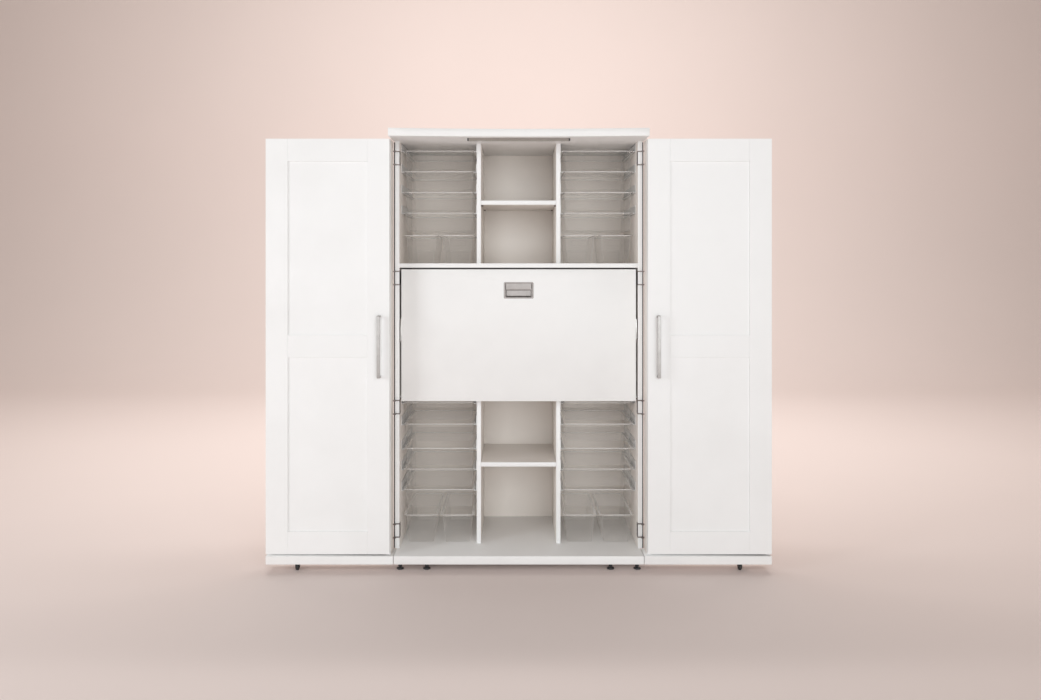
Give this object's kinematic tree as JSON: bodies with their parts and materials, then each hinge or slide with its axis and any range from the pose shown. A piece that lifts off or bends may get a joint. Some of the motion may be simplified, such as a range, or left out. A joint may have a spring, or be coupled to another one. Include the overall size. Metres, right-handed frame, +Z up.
{
  "type": "sewing table cabinet",
  "caption": "White sewing cabinet with a fold-down work table, shelves, clear sliding totes and two hinged wing cabinets with shaker doors.",
  "frame": {"origin": "on the floor, under the middle of the cabinet", "axes": "+Z up, the front faces -Y, +X to the right as seen from the front"},
  "size_m": [2.152, 0.652, 1.886],
  "materials": {
    "laminate": "satin white laminate",
    "nickel": "satin nickel",
    "tote_plastic": "clear moulded plastic",
    "rail_plastic": "translucent white plastic",
    "lamp_housing": "satin grey",
    "dark_metal": "satin black",
    "wheel": "soft tread"
  },
  "bodies": {
    "carcass": {"base_board": "laminate", "top_board": "laminate", "left_side_panel": "laminate", "right_side_panel": "laminate", "back_panel": "laminate", "dividers": "laminate", "fixed_shelf": "laminate", "work_shelf": "laminate", "centre_shelves": "laminate", "shelf_pins": "nickel", "light_bar": "lamp_housing", "tote_rails": "rail_plastic", "levelling_feet": "dark_metal", "table_pivot_pins": "nickel", "stay_studs": "nickel", "wing_hinges": "nickel", "wing_hinge_pins": "nickel"},
    "table": {"table_panel": "laminate", "cup_pull": "nickel", "quadrant_stays": "nickel"},
    "left_wing": {"left_wing_boards": "laminate", "left_wing_base": "laminate", "left_door_pivots": "nickel", "left_caster_fork": "dark_metal"},
    "left_door": {"left_wing_door": "laminate", "left_door_handle": "nickel"},
    "left_wheel": {"left_caster_wheel": "wheel"},
    "right_wing": {"right_wing_boards": "laminate", "right_wing_base": "laminate", "right_door_pivots": "nickel", "right_caster_fork": "dark_metal"},
    "right_door": {"right_wing_door": "laminate", "right_door_handle": "nickel"},
    "right_wheel": {"right_caster_wheel": "wheel"},
    "upper_left_wide_tote_1": {"upper_left_wide_tote_1": "tote_plastic"},
    "upper_left_wide_tote_2": {"upper_left_wide_tote_2": "tote_plastic"},
    "upper_left_wide_tote_3": {"upper_left_wide_tote_3": "tote_plastic"},
    "upper_left_wide_tote_4": {"upper_left_wide_tote_4": "tote_plastic"},
    "upper_right_wide_tote_1": {"upper_right_wide_tote_1": "tote_plastic"},
    "upper_right_wide_tote_2": {"upper_right_wide_tote_2": "tote_plastic"},
    "upper_right_wide_tote_3": {"upper_right_wide_tote_3": "tote_plastic"},
    "upper_right_wide_tote_4": {"upper_right_wide_tote_4": "tote_plastic"},
    "lower_left_wide_tote_1": {"lower_left_wide_tote_1": "tote_plastic"},
    "lower_left_wide_tote_2": {"lower_left_wide_tote_2": "tote_plastic"},
    "lower_left_wide_tote_3": {"lower_left_wide_tote_3": "tote_plastic"},
    "lower_left_wide_tote_4": {"lower_left_wide_tote_4": "tote_plastic"},
    "lower_left_wide_tote_5": {"lower_left_wide_tote_5": "tote_plastic"},
    "lower_right_wide_tote_1": {"lower_right_wide_tote_1": "tote_plastic"},
    "lower_right_wide_tote_2": {"lower_right_wide_tote_2": "tote_plastic"},
    "lower_right_wide_tote_3": {"lower_right_wide_tote_3": "tote_plastic"},
    "lower_right_wide_tote_4": {"lower_right_wide_tote_4": "tote_plastic"},
    "lower_right_wide_tote_5": {"lower_right_wide_tote_5": "tote_plastic"},
    "upper_left_narrow_tote_outer": {"upper_left_narrow_tote_outer": "tote_plastic"},
    "upper_left_narrow_tote_inner": {"upper_left_narrow_tote_inner": "tote_plastic"},
    "upper_right_narrow_tote_outer": {"upper_right_narrow_tote_outer": "tote_plastic"},
    "upper_right_narrow_tote_inner": {"upper_right_narrow_tote_inner": "tote_plastic"},
    "lower_left_narrow_tote_outer": {"lower_left_narrow_tote_outer": "tote_plastic"},
    "lower_left_narrow_tote_inner": {"lower_left_narrow_tote_inner": "tote_plastic"},
    "lower_right_narrow_tote_outer": {"lower_right_narrow_tote_outer": "tote_plastic"},
    "lower_right_narrow_tote_inner": {"lower_right_narrow_tote_inner": "tote_plastic"}
  },
  "joints": [
    {"name": "table_fold", "type": "hinge", "parent": "carcass", "child": "table", "pos_m": [0, -0.1505, 0.7275], "axis": [1, 0, 0], "range_deg": [0, 90]},
    {"name": "left_wing_swing", "type": "hinge", "parent": "carcass", "child": "left_wing", "pos_m": [-0.553, -0.168, 1], "axis": [0, 0, -1], "range_deg": [0, 90]},
    {"name": "left_door_swing", "type": "hinge", "parent": "left_wing", "child": "left_door", "pos_m": [-1.0715, -0.2485, 1], "axis": [0, 0, -1], "range_deg": [0, 110]},
    {"name": "left_wheel_spin", "type": "hinge", "parent": "left_wing", "child": "left_wheel", "pos_m": [-0.952, -0.21275, 0.017], "axis": [1, 0, 0], "continuous": true},
    {"name": "right_wing_swing", "type": "hinge", "parent": "carcass", "child": "right_wing", "pos_m": [0.553, -0.168, 1], "axis": [0, 0, 1], "range_deg": [0, 90]},
    {"name": "right_door_swing", "type": "hinge", "parent": "right_wing", "child": "right_door", "pos_m": [1.0715, -0.2485, 1], "axis": [0, 0, 1], "range_deg": [0, 110]},
    {"name": "right_wheel_spin", "type": "hinge", "parent": "right_wing", "child": "right_wheel", "pos_m": [0.952, -0.21275, 0.017], "axis": [1, 0, 0], "continuous": true},
    {"name": "upper_left_wide_tote_1_slide", "type": "slide", "parent": "carcass", "child": "upper_left_wide_tote_1", "axis": [0, -1, 0], "range_m": [0, 0.3]},
    {"name": "upper_left_wide_tote_2_slide", "type": "slide", "parent": "carcass", "child": "upper_left_wide_tote_2", "axis": [0, -1, 0], "range_m": [0, 0.3]},
    {"name": "upper_left_wide_tote_3_slide", "type": "slide", "parent": "carcass", "child": "upper_left_wide_tote_3", "axis": [0, -1, 0], "range_m": [0, 0.3]},
    {"name": "upper_left_wide_tote_4_slide", "type": "slide", "parent": "carcass", "child": "upper_left_wide_tote_4", "axis": [0, -1, 0], "range_m": [0, 0.3]},
    {"name": "upper_right_wide_tote_1_slide", "type": "slide", "parent": "carcass", "child": "upper_right_wide_tote_1", "axis": [0, -1, 0], "range_m": [0, 0.3]},
    {"name": "upper_right_wide_tote_2_slide", "type": "slide", "parent": "carcass", "child": "upper_right_wide_tote_2", "axis": [0, -1, 0], "range_m": [0, 0.3]},
    {"name": "upper_right_wide_tote_3_slide", "type": "slide", "parent": "carcass", "child": "upper_right_wide_tote_3", "axis": [0, -1, 0], "range_m": [0, 0.3]},
    {"name": "upper_right_wide_tote_4_slide", "type": "slide", "parent": "carcass", "child": "upper_right_wide_tote_4", "axis": [0, -1, 0], "range_m": [0, 0.3]},
    {"name": "lower_left_wide_tote_1_slide", "type": "slide", "parent": "carcass", "child": "lower_left_wide_tote_1", "axis": [0, -1, 0], "range_m": [0, 0.3]},
    {"name": "lower_left_wide_tote_2_slide", "type": "slide", "parent": "carcass", "child": "lower_left_wide_tote_2", "axis": [0, -1, 0], "range_m": [0, 0.3]},
    {"name": "lower_left_wide_tote_3_slide", "type": "slide", "parent": "carcass", "child": "lower_left_wide_tote_3", "axis": [0, -1, 0], "range_m": [0, 0.3]},
    {"name": "lower_left_wide_tote_4_slide", "type": "slide", "parent": "carcass", "child": "lower_left_wide_tote_4", "axis": [0, -1, 0], "range_m": [0, 0.3]},
    {"name": "lower_left_wide_tote_5_slide", "type": "slide", "parent": "carcass", "child": "lower_left_wide_tote_5", "axis": [0, -1, 0], "range_m": [0, 0.3]},
    {"name": "lower_right_wide_tote_1_slide", "type": "slide", "parent": "carcass", "child": "lower_right_wide_tote_1", "axis": [0, -1, 0], "range_m": [0, 0.3]},
    {"name": "lower_right_wide_tote_2_slide", "type": "slide", "parent": "carcass", "child": "lower_right_wide_tote_2", "axis": [0, -1, 0], "range_m": [0, 0.3]},
    {"name": "lower_right_wide_tote_3_slide", "type": "slide", "parent": "carcass", "child": "lower_right_wide_tote_3", "axis": [0, -1, 0], "range_m": [0, 0.3]},
    {"name": "lower_right_wide_tote_4_slide", "type": "slide", "parent": "carcass", "child": "lower_right_wide_tote_4", "axis": [0, -1, 0], "range_m": [0, 0.3]},
    {"name": "lower_right_wide_tote_5_slide", "type": "slide", "parent": "carcass", "child": "lower_right_wide_tote_5", "axis": [0, -1, 0], "range_m": [0, 0.3]},
    {"name": "upper_left_narrow_tote_outer_slide", "type": "slide", "parent": "carcass", "child": "upper_left_narrow_tote_outer", "axis": [0, -1, 0], "range_m": [0, 0.3]},
    {"name": "upper_left_narrow_tote_inner_slide", "type": "slide", "parent": "carcass", "child": "upper_left_narrow_tote_inner", "axis": [0, -1, 0], "range_m": [0, 0.3]},
    {"name": "upper_right_narrow_tote_outer_slide", "type": "slide", "parent": "carcass", "child": "upper_right_narrow_tote_outer", "axis": [0, -1, 0], "range_m": [0, 0.3]},
    {"name": "upper_right_narrow_tote_inner_slide", "type": "slide", "parent": "carcass", "child": "upper_right_narrow_tote_inner", "axis": [0, -1, 0], "range_m": [0, 0.3]},
    {"name": "lower_left_narrow_tote_outer_slide", "type": "slide", "parent": "carcass", "child": "lower_left_narrow_tote_outer", "axis": [0, -1, 0], "range_m": [0, 0.3]},
    {"name": "lower_left_narrow_tote_inner_slide", "type": "slide", "parent": "carcass", "child": "lower_left_narrow_tote_inner", "axis": [0, -1, 0], "range_m": [0, 0.3]},
    {"name": "lower_right_narrow_tote_outer_slide", "type": "slide", "parent": "carcass", "child": "lower_right_narrow_tote_outer", "axis": [0, -1, 0], "range_m": [0, 0.3]},
    {"name": "lower_right_narrow_tote_inner_slide", "type": "slide", "parent": "carcass", "child": "lower_right_narrow_tote_inner", "axis": [0, -1, 0], "range_m": [0, 0.3]}
  ]
}
